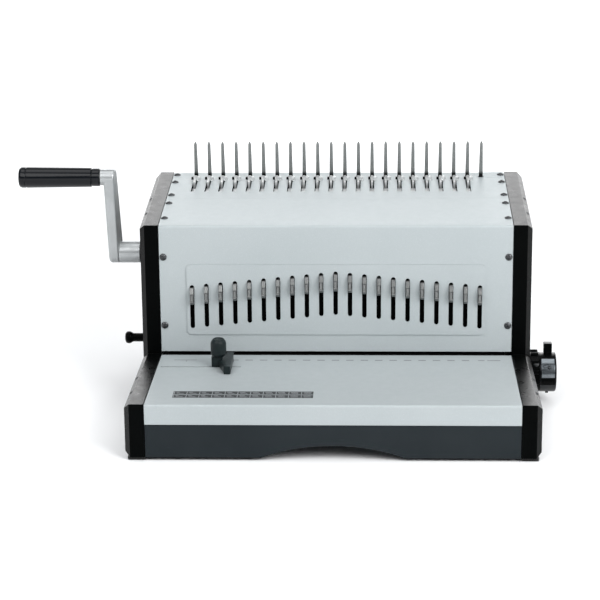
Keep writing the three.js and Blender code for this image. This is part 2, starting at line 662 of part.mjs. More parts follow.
function addMarginControl() {
  const drumR = 19.5;
  const drumIn = 204;
  const spindleEnd = 153;
  const drum = turnedX([
    [0, spindleEnd], [SPINDLE_R, spindleEnd], [SPINDLE_R, drumIn], [drumR - 1.2, drumIn], [drumR, drumIn + 1.2],
    [drumR, KNOB_END - 2], [drumR - 2, KNOB_END], [0, KNOB_END],
  ], MARGIN_Y, MARGIN_Z, 40);
  const nub = box(208.6, 216.6, MARGIN_Y - 4, MARGIN_Y + 4, MARGIN_Z + drumR - 2, MARGIN_Z + drumR + 11.2);
  // the crank pin stands off the spindle's axis and works in the margin stop's window
  const crankPin = rodX(1.6, 144.9, spindleEnd + 1, MARGIN_Y, MARGIN_Z + ECCENTRIC, 12);
  add('margin_knob', 'gloss', join(drum, nub, crankPin));

  const collarR = 20.4;
  const bore = SPINDLE_R + 0.4;
  const lobes = 12;
  const lobeR = 2.2;
  let collar = turnedX([
    [bore, CHEEK_OUT + GAP], [collarR, CHEEK_OUT + GAP], [collarR, drumIn - GAP], [bore, drumIn - GAP],
    [bore, CHEEK_OUT + GAP],
  ], MARGIN_Y, MARGIN_Z, 28);
  for (let i = 0; i < lobes; i++) {
    const angle = 2 * Math.PI * (i + 0.5) / lobes;
    const y = MARGIN_Y + collarR * Math.cos(angle);
    const z = MARGIN_Z + collarR * Math.sin(angle);
    collar = join(collar, rodX(lobeR, CHEEK_OUT + GAP + 1, drumIn - GAP - 1, y, z, 8));
  }
  add('margin_collar', 'cheek', collar);

  // the yoke hangs just outboard of the last pin
  const stopEnd = 150;
  const yokeIn = 147.3;
  const bar = box(-stopEnd, stopEnd, 179, 190.6, DIE_TOP + GAP, GUIDE_BOTTOM - 0.4);
  const legTop = DIE_TOP + GAP + 1;
  const leg = box(yokeIn, stopEnd, 187.2, 190.6, 26, legTop);
  const yoke = box(yokeIn, stopEnd, 174, 190.6, 26, 43);
  const window = box(yokeIn - 1, stopEnd + 1, MARGIN_Y - 2, MARGIN_Y + 2, 29.5, 38.6);
  add('margin_stop', 'steel', cut(join(bar, leg, yoke), window));
}

// ---------- paper edge guide ----------
function addEdgeGuide() {
  const bottom = TABLE_TOP + GAP;
  const blockTop = 65.2;
  const railTop = 63.3;
  const studR = 2.2;
  const x = GUIDE_KNOB_X;
  const block = prismZ(roundedRectangle(x - 7, x + 3.6, 117.6, 128.5, 1.5), bottom, blockTop);
  const web = prismZ([[x + 0.6, 118.4], [-107.4, 95], [-106.3, 140], [x - 2, 140]], bottom, railTop - 1);
  const rail = prismZ(roundedRectangle(-107.8, -101, 93.7, 142, 1.2), bottom, railTop);
  const neck = box(x - 4, x + 4, GUIDE_SLOT_Y - 1, GUIDE_SLOT_Y + 1, 50, bottom + 1);
  const shoe = box(x - 8, x + 8, GUIDE_SLOT_Y - 6, GUIDE_SLOT_Y + 6, 49, TABLE_TOP - SHEET - GAP);
  const hole = rodZ(studR + 0.4, 59, 80, x, GUIDE_SLOT_Y + 1.5, 16);
  add('edge_guide', 'cheek', cut(join(block, web, rail, neck, shoe), hole));

  const knobR = 7.7;
  const knobTop = 83.5;
  const profile = [
    [0, blockTop + GAP], [knobR, blockTop + GAP], [knobR, knobTop - 1.2], [knobR - 1.2, knobTop], [0, knobTop],
  ].map(([radius, z]) => new THREE.Vector2(radius, z));
  const cap = new THREE.LatheGeometry(profile, 28);
  cap.rotateX(Math.PI / 2);
  cap.translate(x, GUIDE_SLOT_Y + 1.5, 0);
  const stud = rodZ(studR, 60, blockTop + 2, x, GUIDE_SLOT_Y + 1.5, 16);
  add('edge_guide_knob', 'cheek', join(toSolid(cap), stud));
}

addCheeks();
addFramePlates();
addBushings();
addFrontCover();
addHookDeck();
addRearCover();
addPaperTable();
addBasePan();
addChipTray();
addFeet();
addPunchGuides();
addPunchPins();
addPunchBar();
addDrive();
addHandle();
addProngPlate();
addHookRake();
addReturnSprings();
addSelector();
addMarginControl();
addEdgeGuide();

export default machine;
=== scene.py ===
"""Comb binding machine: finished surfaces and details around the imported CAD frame."""
import json
import math

import bmesh
import bpy
from mathutils import Matrix, Vector


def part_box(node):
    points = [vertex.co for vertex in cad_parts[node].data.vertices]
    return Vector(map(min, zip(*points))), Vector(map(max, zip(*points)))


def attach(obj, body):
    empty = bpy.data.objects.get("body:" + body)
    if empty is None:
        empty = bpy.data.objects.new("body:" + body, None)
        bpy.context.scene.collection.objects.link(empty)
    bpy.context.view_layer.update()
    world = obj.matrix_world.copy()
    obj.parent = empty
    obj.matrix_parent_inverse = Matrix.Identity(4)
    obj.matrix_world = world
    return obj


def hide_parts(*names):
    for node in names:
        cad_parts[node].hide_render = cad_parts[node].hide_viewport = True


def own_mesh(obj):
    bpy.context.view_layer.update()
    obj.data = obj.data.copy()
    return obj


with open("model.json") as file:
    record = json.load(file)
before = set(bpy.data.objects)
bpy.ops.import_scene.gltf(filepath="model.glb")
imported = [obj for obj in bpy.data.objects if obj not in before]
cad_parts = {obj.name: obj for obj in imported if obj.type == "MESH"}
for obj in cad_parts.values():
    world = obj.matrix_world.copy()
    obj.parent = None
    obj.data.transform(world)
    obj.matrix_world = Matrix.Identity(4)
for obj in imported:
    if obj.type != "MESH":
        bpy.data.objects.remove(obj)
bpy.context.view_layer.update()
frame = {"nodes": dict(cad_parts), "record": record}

# ---------- places, from the frame ----------
MM = 0.001
TABLE_LOW, TABLE_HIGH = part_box("paper_table")
PANEL_LOW, PANEL_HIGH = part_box("front_cover")
REAR_LOW, REAR_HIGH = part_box("rear_cover")
MID_X = (TABLE_LOW.x + TABLE_HIGH.x) / 2
FRONT_Y = TABLE_LOW.y
PITCH = 14.2875                   # between punched holes


def at(x, y, z):
    """A point of the machine in millimetres (middle, front and floor at zero), as metres in the frame."""
    return Vector((MID_X + x * MM, FRONT_Y + y * MM, z * MM))


def machine_mm(point):
    """The inverse of at()."""
    return Vector(((point.x - MID_X) / MM, (point.y - FRONT_Y) / MM, point.z / MM))


COVER_HALF = (TABLE_HIGH.x - TABLE_LOW.x) / 2 / MM
TABLE_TOP = TABLE_HIGH.z / MM
BODY_OF = {node: name for name, nodes in frame["record"]["behaviour"]["bodies"].items() for node in nodes}
SLOT_OF = {part["node"]: part["material_slot"] for part in frame["record"]["subparts"]}
EMBOSS_PROUD = 1.2                # the slotted field stands this far off the panel
PANEL_Y = machine_mm(PANEL_LOW).y + EMBOSS_PROUD
DECK_RISE = math.tan(math.radians(6.37))
HOOK_COLUMNS = [(i - 10.5) * PITCH for i in range(21)]
PRONG_Y = 314.8
FOLD_Z = machine_mm(REAR_HIGH).z - (machine_mm(REAR_HIGH).y - PANEL_Y) * DECK_RISE


def deck_z(y):
    """Height of the sloping deck's upper face at a machine Y."""
    return FOLD_Z + (y - PANEL_Y) * DECK_RISE


# ---------- materials ----------
class Nodes:
    """A small helper that adds and links shader nodes."""

    def __init__(self, name):
        self.material = bpy.data.materials.new(name)
        self.material.use_nodes = True
        self.tree = self.material.node_tree
        self.shader = self.tree.nodes["Principled BSDF"]
        self.where = self.add("ShaderNodeTexCoord").outputs["Object"]

    def add(self, kind, **settings):
        node = self.tree.nodes.new(kind)
        for key, value in settings.items():
            setattr(node, key, value)
        return node

    def link(self, output, target):
        self.tree.links.new(output, target)

    def noise(self, scale, detail=3.0, roughness=0.55, stretch=(1, 1, 1)):
        mapping = self.add("ShaderNodeMapping")
        mapping.inputs["Scale"].default_value = stretch
        self.link(self.where, mapping.inputs["Vector"])
        node = self.add("ShaderNodeTexNoise")
        node.inputs["Scale"].default_value = scale
        node.inputs["Detail"].default_value = detail
        node.inputs["Roughness"].default_value = roughness
        self.link(mapping.outputs["Vector"], node.inputs["Vector"])
        return node.outputs["Fac"]

    def spread(self, value, low, high, start=0.3, end=0.7):
        node = self.add("ShaderNodeMapRange")
        node.inputs["From Min"].default_value = start
        node.inputs["From Max"].default_value = end
        node.inputs["To Min"].default_value = low
        node.inputs["To Max"].default_value = high
        self.link(value, node.inputs["Value"])
        return node.outputs["Result"]

    def blend(self, factor, first, second):
        node = self.add("ShaderNodeMix", data_type="RGBA")
        self.link(factor, node.inputs["Factor"])
        for value, socket in ((first, node.inputs[6]), (second, node.inputs[7])):
            if isinstance(value, tuple):
                socket.default_value = (*value, 1)
            else:
                self.link(value, socket)
        return node.outputs[2]

    def bump(self, height, distance, strength=1.0, below=None):
        node = self.add("ShaderNodeBump")
        node.inputs["Distance"].default_value = distance
        node.inputs["Strength"].default_value = strength
        self.link(height, node.inputs["Height"])
        if below is not None:
            self.link(below, node.inputs["Normal"])
        return node.outputs["Normal"]

    def along(self, axis, start, end):
        """0 below start and 1 above end, in metres along one axis of the frame."""
        split = self.add("ShaderNodeSeparateXYZ")
        self.link(self.where, split.inputs[0])
        return self.spread(split.outputs[axis], 0, 1, start, end)

    def finish(self, color, roughness, normal, **numbers):
        self.link(color, self.shader.inputs["Base Color"])
        self.link(roughness, self.shader.inputs["Roughness"])
        self.link(normal, self.shader.inputs["Normal"])
        for socket, value in numbers.items():
            self.shader.inputs[socket.replace("_", " ")].default_value = value
        return self.material


def silver_paint():
    """Metallic grey powder coat: pale flakes and a slight orange peel."""
    n = Nodes("silver_paint")
    clouds = n.noise(9, 2)
    flakes = n.noise(2600, 1, 0.4)
    base = n.blend(n.spread(clouds, 0, 1), (0.366, 0.402, 0.412), (0.390, 0.425, 0.434))
    flecked = n.blend(n.spread(flakes, 0, 0.30, 0.58, 0.75), base, (0.62, 0.65, 0.66))
    roughness = n.spread(n.noise(140, 3), 0.40, 0.50)
    peel = n.bump(n.noise(700, 2), 0.00004, 0.5)
    return n.finish(flecked, roughness, n.bump(flakes, 0.00001, 0.3, peel),
                    Metallic=0.12, IOR=1.42, Specular_IOR_Level=0.26)


def dark_paint():
    """Smooth dark paint of the base with light, level scuffs."""
    n = Nodes("dark_paint")
    base = n.blend(n.spread(n.noise(14, 3), 0, 1), (0.0110, 0.0155, 0.0185), (0.0150, 0.0200, 0.0230))
    scuffs = n.noise(60, 5, 0.7, (1, 1, 6))
    worn = n.blend(n.spread(scuffs, 0, 0.25, 0.62, 0.8), base, (0.05, 0.06, 0.065))
    roughness = n.spread(n.noise(90, 3), 0.36, 0.48)
    return n.finish(worn, roughness, n.bump(n.noise(900, 2), 0.00005, 0.6),
                    IOR=1.5, Specular_Tint=(0.25, 0.25, 0.25, 1))


def moulded_plastic(name, low, high, rough, grain, facing):
    """Black moulding: fine spark-eroded grain, faint flow clouds and light scuffs.

    facing scales the mirror part seen straight on; at a grazing angle it stays bright.
    """
    n = Nodes(name)
    base = n.blend(n.spread(n.noise(22, 4), 0, 1), low, high)
    scuffs = n.noise(70, 5, 0.7, (5, 1, 1))
    worn = n.blend(n.spread(scuffs, 0, 0.4, 0.62, 0.8), base, tuple(c * 2.2 for c in high))
    roughness = n.spread(n.noise(120, 4), rough - 0.05, rough + 0.06)
    fine = n.bump(n.noise(2300, 2, 0.6), grain, 0.6)
    return n.finish(worn, roughness, n.bump(n.noise(35, 2), 0.00004, 0.25, fine), IOR=1.5,
                    Specular_Tint=(facing, facing, facing, 1))


def cast_metal():
    """Silver-painted casting of the lever."""
    n = Nodes("cast_aluminium")
    base = n.blend(n.spread(n.noise(30, 4), 0, 1), (0.35, 0.365, 0.37), (0.43, 0.445, 0.45))
    worn = n.blend(n.spread(n.noise(150, 4, 0.7), 0, 0.3, 0.6, 0.8), base, (0.60, 0.61, 0.61))
    roughness = n.spread(n.noise(260, 4), 0.30, 0.44)
    skin = n.bump(n.noise(900, 3), 0.00005, 0.6)
    return n.finish(worn, roughness, n.bump(n.noise(120, 2), 0.00006, 0.3, skin), Metallic=0.78, IOR=1.5)


def metal(name, low, high, rough, stretch, scale=300):
    """Bare metal, brushed or ground along one direction."""
    n = Nodes(name)
    strokes = n.noise(scale, 5, 0.65, stretch)
    stains = n.noise(40, 4)
    base = n.blend(n.spread(strokes, 0, 1), low, high)
    dulled = n.blend(n.spread(stains, 0, 0.35, 0.5, 0.75), base, tuple(c * 0.6 for c in low))
    roughness = n.spread(strokes, rough - 0.07, rough + 0.10)
    return n.finish(dulled, roughness, n.bump(strokes, 0.00003, 0.5), Metallic=0.95)


def prong_steel():
    """Drawn steel, painted near black at the root: painted shade of the opening round the prong's root."""
    n = Nodes("prong_steel")
    strokes = n.noise(500, 4, 0.6, (8, 8, 0.6))
    base = n.blend(n.spread(strokes, 0, 1), (0.20, 0.21, 0.205), (0.34, 0.35, 0.345))
    root = deck_z(PRONG_Y) * MM
    # painted shade: a few millimetres above the deck and lower, the prong is painted near black for the shade
    # round its root
    color = n.blend(n.along("Z", root + 0.0035, root + 0.0065), (0.012, 0.013, 0.013), base)
    return n.finish(color, n.spread(strokes, 0.26, 0.42), n.bump(strokes, 0.00003, 0.5), Metallic=0.9)


def pin_steel():
    """Bright pull tab; the blade behind the panel is painted near black, partly for its oil film and partly
    as painted shade inside the slot.
    """
    n = Nodes("pin_steel")
    strokes = n.noise(400, 4, 0.6, (8, 8, 0.6))
    base = n.blend(n.spread(strokes, 0, 1), (0.13, 0.135, 0.135), (0.28, 0.285, 0.28))
    panel = PANEL_LOW.y + EMBOSS_PROUD * MM
    # the blade behind the panel: near black for an oil film together with painted shade inside the slot, and
    # rougher
    inside = n.along("Y", panel - 0.0005, panel + 0.0015)
    color = n.blend(inside, base, (0.004, 0.0038, 0.0035))
    roughness = n.spread(strokes, 0.26, 0.40)
    rougher = n.add("ShaderNodeMath", operation="MAXIMUM")
    n.link(roughness, rougher.inputs[0])
    n.link(n.spread(inside, 0, 0.7, 0, 1), rougher.inputs[1])
    return n.finish(color, rougher.outputs[0], n.bump(strokes, 0.00003, 0.5), Metallic=0.9)


def rubber():
    """Dull black rubber of the feet."""
    n = Nodes("rubber")
    base = n.blend(n.spread(n.noise(60, 4), 0, 1), (0.009, 0.009, 0.009), (0.018, 0.018, 0.018))
    roughness = n.spread(n.noise(300, 3), 0.72, 0.9)
    return n.finish(base, roughness, n.bump(n.noise(1500, 2), 0.0001, 0.7))


def ink(name, dark, light):
    """Screen-printed ink, slightly uneven."""
    n = Nodes(name)
    base = n.blend(n.spread(n.noise(400, 4), 0, 1), dark, light)
    roughness = n.spread(n.noise(700, 2), 0.45, 0.6)
    return n.finish(base, roughness, n.bump(n.noise(2000, 2), 0.00001, 0.4))


FINISH = {
    "silver_paint": silver_paint(),
    "dark_paint": dark_paint(),
    "black_plastic": moulded_plastic("black_plastic", (0.0008, 0.0011, 0.0011), (0.0014, 0.0018, 0.0018),
                                     0.30, 0.00006, 0.03),
    "gloss_black": moulded_plastic("gloss_black", (0.0018, 0.0026, 0.0040), (0.0030, 0.0042, 0.0062),
                                   0.10, 0.00001, 0.45),
    "knob_black": moulded_plastic("knob_black", (0.0060, 0.0075, 0.0080), (0.0100, 0.0120, 0.0130),
                                  0.34, 0.00004, 0.7),
    "cast_aluminium": cast_metal(),
    "bright_steel": metal("bright_steel", (0.20, 0.205, 0.205), (0.36, 0.365, 0.36), 0.30, (8, 8, 0.6)),
    "machined_steel": metal("machined_steel", (0.012, 0.012, 0.0115), (0.030, 0.029, 0.028), 0.45,
                            (0.6, 6, 6)),
    "bronze": metal("bronze", (0.36, 0.23, 0.09), (0.52, 0.36, 0.16), 0.42, (3, 3, 3)),
    "rubber": rubber(),
}
SCREW_STEEL = metal("black_screw_steel", (0.050, 0.052, 0.055), (0.11, 0.114, 0.118), 0.30, (2, 2, 2), 500)
ZINC = metal("bright_zinc", (0.66, 0.67, 0.67), (0.84, 0.85, 0.85), 0.34, (4, 4, 4), 260)
PRONG_STEEL = prong_steel()
PIN_STEEL = pin_steel()
POLISHED = metal("polished_band", (0.10, 0.115, 0.125), (0.20, 0.22, 0.235), 0.18, (0.5, 6, 6), 300)
GUIDE_BLACK = moulded_plastic("guide_black", (0.0065, 0.0115, 0.0122), (0.0100, 0.0160, 0.0168),
                              0.36, 0.00005, 0.4)
SHOE_GREY = moulded_plastic("shoe_grey", (0.014, 0.016, 0.017), (0.022, 0.024, 0.025), 0.45, 0.00008, 0.5)
PRINT_GREY = ink("print_grey", (0.16, 0.17, 0.18), (0.22, 0.23, 0.24))
PRINT_DARK = ink("print_dark", (0.020, 0.022, 0.024), (0.035, 0.037, 0.040))
PRINT_PALE = ink("print_pale", (0.26, 0.28, 0.29), (0.34, 0.36, 0.37))


# ---------- mesh helpers ----------
SHARP = math.radians(28)


def clean_normals(mesh):
    """Writes corner normals: flat faces stay flat, and the bevels between them (material 1) blend across."""
    faces = mesh.polygons
    around = [[] for _ in mesh.vertices]
    for face in faces:
        for vertex in face.vertices:
            around[vertex].append(face.index)
    blend = math.cos(math.radians(36))
    wide = math.cos(math.radians(62))

    def average(vertex, kind, direction, limit):
        total = Vector()
        for other in around[vertex]:
            face = faces[other]
            if face.material_index == kind and face.normal.dot(direction) > limit:
                total += face.normal * face.area
        return total.normalized() if total.length > 0 else direction

    normals = [None] * len(mesh.loops)
    for face in faces:
        for loop in face.loop_indices:
            vertex = mesh.loops[loop].vertex_index
            if face.material_index == 0:
                normals[loop] = average(vertex, 0, face.normal, blend)
                continue
            flats = [faces[o] for o in around[vertex]
                     if faces[o].material_index == 0 and faces[o].normal.dot(face.normal) > wide]
            if flats:
                best = max(flats, key=lambda f: f.normal.dot(face.normal))
                normals[loop] = average(vertex, 0, best.normal, blend)
            else:
                normals[loop] = average(vertex, 1, face.normal, wide)
    for face in faces:
        face.material_index = 0
        face.use_smooth = True
    mesh.normals_split_custom_set(normals)


def shown(name, mesh, material, body, slot_name=None):
    """A finished piece of one body."""
    clean_normals(mesh)
    mesh.materials.clear()
    mesh.materials.append(material)
    piece = bpy.data.objects.new(name, mesh)
    bpy.context.scene.collection.objects.link(piece)
    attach(piece, body)
    return piece


def to_mesh(bm, name):
    """Turns a bmesh into a mesh and frees it."""
    bmesh.ops.recalc_face_normals(bm, faces=bm.faces)
    mesh = bpy.data.meshes.new(name)
    bm.to_mesh(mesh)
    bm.free()
    return mesh


def bevel(bm, chosen, width, segments):
    """Rounds the chosen edges by a width in millimetres; the new faces get material 1."""
    edges = [e for e in bm.edges if e.is_valid and len(e.link_faces) == 2 and chosen(e)]
    if edges:
        bmesh.ops.bevel(bm, geom=edges, offset=width * MM, offset_type="OFFSET", segments=segments,
                        profile=0.5, affect="EDGES", clamp_overlap=True, loop_slide=True, material=1)


def corner(edge):
    return edge.calc_face_angle() > SHARP


def solid_of(node):
    """The CAD solid as a clean mesh of flat faces."""
    bm = bmesh.new()
    bm.from_mesh(frame["nodes"][node].data)
    bmesh.ops.remove_doubles(bm, verts=bm.verts, dist=0.002 * MM)
    bmesh.ops.dissolve_limit(bm, angle_limit=math.radians(0.6), verts=bm.verts, edges=bm.edges)
    return bm


def refined(node, *passes, material=None):
    """A finer copy of a CAD node that takes its place: each pass rounds some of its edges."""
    bm = solid_of(node)
    for chosen, width, segments in passes:
        bevel(bm, chosen, width, segments)
    slot_name = SLOT_OF[node]
    piece = shown(f"{node}_fine", to_mesh(bm, node), material or FINISH[slot_name], BODY_OF[node], slot_name)
    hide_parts(node)
    return piece


def near(value, target, tolerance=0.15):
    return abs(value - target) < tolerance


def edge_at(y, z):
    """Picks edges along X that lie at this machine Y and Z."""
    def chosen(edge):
        ends = [machine_mm(v.co) for v in edge.verts]
        return all(near(p.y, y) and near(p.z, z) for p in ends) and abs(ends[0].x - ends[1].x) > 1
    return chosen


def lathe(profile, centre, axis="X", steps=96):
    """Turns [radius, place along the axis] points about an axis through centre, all in millimetres."""
    bm = bmesh.new()
    rings = []
    for radius, along in profile:
        ring = []
        for i in range(1 if radius == 0 else steps):
            angle = 2 * math.pi * i / steps
            a, b = radius * math.cos(angle), radius * math.sin(angle)
            across_x = (along, centre[1] + a, centre[2] + b)
            across_z = (centre[0] + a, centre[1] + b, along)
            ring.append(bm.verts.new(at(*(across_x if axis == "X" else across_z))))
        rings.append(ring)
    for first, second in zip(rings, rings[1:]):
        for i in range(steps):
            corners = [first[i % len(first)], first[(i + 1) % len(first)],
                       second[(i + 1) % len(second)], second[i % len(second)]]
            unique = list(dict.fromkeys(corners))
            if len(unique) > 2:
                bm.faces.new(unique)
    return bm


def softened(points, radius, steps=4):
    """A profile with each of its inner corners rounded by an arc of about that radius."""
    out = [points[0]]
    for before, here, after in zip(points, points[1:], points[2:]):
        p, q, r = Vector(before), Vector(here), Vector(after)
        reach = min(radius, (p - q).length * 0.45, (r - q).length * 0.45)
        start, end = q + (p - q).normalized() * reach, q + (r - q).normalized() * reach
        for i in range(steps + 1):
            t = i / steps
            out.append(tuple(start * (1 - t) ** 2 + q * 2 * t * (1 - t) + end * t ** 2))
    out.append(points[-1])
    return out


def plate_block(bm, x0, x1, y0, y1, z0, z1):
    """Adds a closed box to a mesh, in machine millimetres."""
    made = bmesh.ops.create_cube(bm, size=1)["verts"]
    for vert in made:
        unit = vert.co + Vector((0.5, 0.5, 0.5))
        vert.co = at(x0 + (x1 - x0) * unit.x, y0 + (y1 - y0) * unit.y, z0 + (z1 - z0) * unit.z)


# ---------- covers, table and base ----------
def covers():
    """Sheet parts with rounded bends and broken edges, and the moulded cheeks and feet."""
    rear_bend = edge_at(machine_mm(REAR_HIGH).y, machine_mm(REAR_HIGH).z)
    refined("front_cover", (edge_at(PANEL_Y, FOLD_Z), 2.4, 6), (corner, 0.28, 2))
    refined("hook_deck", (corner, 0.22, 2))
    refined("rear_cover", (rear_bend, 2.4, 6), (corner, 0.22, 2))
    refined("paper_table", (edge_at(0, TABLE_TOP), 2.2, 6), (corner, 0.25, 2))
    refined("base_pan", (corner, 0.25, 2))
    refined("chip_tray", (corner, 0.4, 3))
    for side in ("left", "right"):
        refined(f"{side}_cheek", (corner, 1.1, 4))
        for end in ("front", "rear"):
            refined(f"{side}_{end}_foot", (corner, 0.6, 3))


# ---------- punch pins, prongs and hooks ----------
def punch_pin(node):
    """A pin whose pull tab has a sloped head, a sunk window and a sloped foot."""
    window_top, window_bottom, frame_width = 6.2, 13.4, 1.0      # millimetres below the tab's top
    head_slope, foot_slope = 3.2 * MM, 2.0 * MM
    close = 0.1 * MM
    bm = solid_of(node)
    front = min(v.co.y for v in bm.verts)
    tab = [v.co.z for v in bm.verts if v.co.y < front + close]
    top, bottom = max(tab), min(tab)
    for drop in (window_top - frame_width, window_top, window_bottom, window_bottom + frame_width):
        bmesh.ops.bisect_plane(bm, geom=[*bm.verts, *bm.edges, *bm.faces], plane_co=(0, 0, top - drop * MM),
                               plane_no=(0, 0, 1), dist=0.001 * MM)
    bm.faces.ensure_lookup_table()
    window = [f for f in bm.faces if f.normal.y < -0.99 and f.calc_center_median().y < front + close
              and top - window_bottom * MM < f.calc_center_median().z < top - window_top * MM]
    bmesh.ops.inset_region(bm, faces=window, thickness=0.6 * MM, depth=-1.0 * MM, use_even_offset=True)
    for vert in bm.verts:
        if vert.co.y < front + close:
            if vert.co.z > top - close:
                vert.co.y += head_slope
            if vert.co.z < bottom + close:
                vert.co.y += foot_slope
    bevel(bm, corner, 0.25, 2)
    piece = shown(f"{node}_fine", to_mesh(bm, node), PIN_STEEL, BODY_OF[node], SLOT_OF[node])
    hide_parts(node)


def ring(bm, centre, half_x, half_z, tube, steps=28, sides=10):
    """Adds an upright oval ring, in machine millimetres."""
    rows = []
    for i in range(steps):
        a = 2 * math.pi * i / steps
        row = []
        for j in range(sides):
            b = 2 * math.pi * j / sides
            x = centre[0] + (half_x + tube * math.cos(b)) * math.cos(a)
            z = centre[2] + (half_z + tube * math.cos(b)) * math.sin(a)
            row.append(bm.verts.new(at(x, centre[1] + tube * math.sin(b), z)))
        rows.append(row)
    for i in range(steps):
        for j in range(sides):
            bm.faces.new([rows[i][j], rows[(i + 1) % steps][j], rows[(i + 1) % steps][(j + 1) % sides],
                          rows[i][(j + 1) % sides]])


def travel(joint_name):
    """A slide's longest travel, in metres."""
    joints = {joint["name"]: joint for joint in frame["record"]["behaviour"]["joints"]}
    return max(joints[joint_name]["range_m"])


def hook_stems():
    """Flat feet of the hooks: they fill the slots, and pass under the deck at the rake's front stop."""
    stroke = travel("rake_stroke") / MM
    under_deck = 1.6              # below the deck's upper face: its sheet and some air
    half_width, front, back, low, high = 2.2, 272, 289, 193, 195
    stems = bmesh.new()
    for x in HOOK_COLUMNS:
        plate_block(stems, x - half_width, x + half_width, front, back, low, high)
    for vert in stems.verts:
        p = machine_mm(vert.co)
        if p.z > (low + high) / 2:
            vert.co = at(p.x, p.y, deck_z(p.y - stroke) - under_deck)
    bevel(stems, corner, 0.3, 2)
    shown("hook_stems", to_mesh(stems, "hook_stems"), ZINC, "rake")


def return_springs():
    """The return springs as finished copies, each with a mesh of its own."""
    stroke = travel("punch_stroke")
    for side in ("left", "right"):
        spring = refined(f"{side}_return_spring")
        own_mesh(spring)


def comb_parts():
    """Everything that punches the paper or opens the comb."""
    for node in sorted(frame["nodes"]):
        if node.startswith("punch_pin_"):
            punch_pin(node)
    return_springs()
    hook_stems()
    refined("prong_plate", (corner, 0.3, 2), material=PRONG_STEEL)
    refined("hook_rake", (corner, 0.3, 2), material=ZINC)
    eyes, caps = bmesh.new(), bmesh.new()
    for x in HOOK_COLUMNS:
        ring(eyes, (x + 3.1, 299.5, 206.1), 1.9, 2.3, 0.55)
        plate_block(caps, x - 4.1, x - 1.8, 299.8, 303.5, 204.5, 207.5)
    bevel(caps, corner, 0.4, 2)
    shown("hook_eyes", to_mesh(eyes, "hook_eyes"), ZINC, "rake")
    shown("hook_end_caps", to_mesh(caps, "hook_end_caps"), FINISH["black_plastic"], "rake")


# ---------- lever ----------
SHAFT_LOW, SHAFT_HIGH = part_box("drive_shaft")
GRIP_LOW, GRIP_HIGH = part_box("handle_grip")
ARM_LOW, ARM_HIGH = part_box("handle_arm")
SHAFT = machine_mm((SHAFT_LOW + SHAFT_HIGH) / 2)
GRIP = machine_mm((GRIP_LOW + GRIP_HIGH) / 2)
HUB_R = 11.0
BOSS_R = 8.0
BOSS_END = machine_mm(GRIP_HIGH).x + 0.3
ARM_OUTER = BOSS_END + 3.4
ARM_INNER = ARM_OUTER + 11.4
DRAFT = 0.1                       # the inner face slopes outward from its front edge to its back edge
SPINDLE_R = 4.0                   # the spindle that the grip turns on
SPINDLE_END = BOSS_END - 66


def lever_arm():
    """Cast crank: a tapering flat arm with rounded edges between the hub and the boss."""
    lean = math.atan2(GRIP.z - SHAFT.z, GRIP.y - SHAFT.y)
    reach = math.hypot(GRIP.z - SHAFT.z, GRIP.y - SHAFT.y)
    spread = math.asin((HUB_R - BOSS_R) / reach)
    outline = []
    steps = 28                    # round each end
    for i in range(steps + 1):
        a = lean - math.pi / 2 + spread + (math.pi - 2 * spread) * i / steps
        outline.append((GRIP.y + BOSS_R * math.cos(a), GRIP.z + BOSS_R * math.sin(a)))
    for i in range(steps + 1):
        a = lean + math.pi / 2 - spread + (math.pi + 2 * spread) * i / steps
        outline.append((SHAFT.y + HUB_R * math.cos(a), SHAFT.z + HUB_R * math.sin(a)))
    bm = bmesh.new()
    outer = [bm.verts.new(at(ARM_OUTER, y, z)) for y, z in outline]
    across = Vector((math.sin(lean), -math.cos(lean)))
    inner = []
    for y, z in outline:
        side = (Vector((y, z)) - Vector((SHAFT.y, SHAFT.z))).dot(across)
        inner.append(bm.verts.new(at(ARM_INNER + DRAFT * side, y, z)))
    bm.faces.new(outer)
    bm.faces.new(inner[::-1])
    count = len(outline)
    for i in range(count):
        bm.faces.new([outer[i], outer[(i + 1) % count], inner[(i + 1) % count], inner[i]])
    bmesh.ops.recalc_face_normals(bm, faces=bm.faces)

    def rim(edge):
        return edge.calc_face_angle() > math.radians(60)

    def outer_rim(edge):
        return rim(edge) and all(near(machine_mm(v.co).x, ARM_OUTER, 0.05) for v in edge.verts)

    bevel(bm, outer_rim, 3.2, 6)
    bevel(bm, rim, 1.6, 4)
    arm = shown("lever_arm", to_mesh(bm, "lever_arm"), FINISH["cast_aluminium"], "drive", "cast_aluminium")
    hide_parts("handle_arm")

    hub_in = machine_mm(ARM_HIGH).x
    hub = lathe(softened([(6.4, hub_in), (HUB_R, hub_in), (HUB_R, ARM_INNER - 1)], 0.8)
                + [(0, ARM_INNER - 1)], (0, SHAFT.y, SHAFT.z))
    shown("lever_hub", to_mesh(hub, "lever_hub"), FINISH["cast_aluminium"], "drive", "cast_aluminium")
    boss = lathe([(0, ARM_INNER - 3), (BOSS_R, ARM_INNER - 3), (BOSS_R, BOSS_END + 0.6),
                  (BOSS_R - 0.6, BOSS_END), (SPINDLE_R, BOSS_END), (SPINDLE_R, SPINDLE_END + 0.5),
                  (SPINDLE_R - 0.5, SPINDLE_END), (0, SPINDLE_END)], (0, GRIP.y, GRIP.z))
    shown("lever_boss", to_mesh(boss, "lever_boss"), FINISH["cast_aluminium"], "drive", "cast_aluminium")


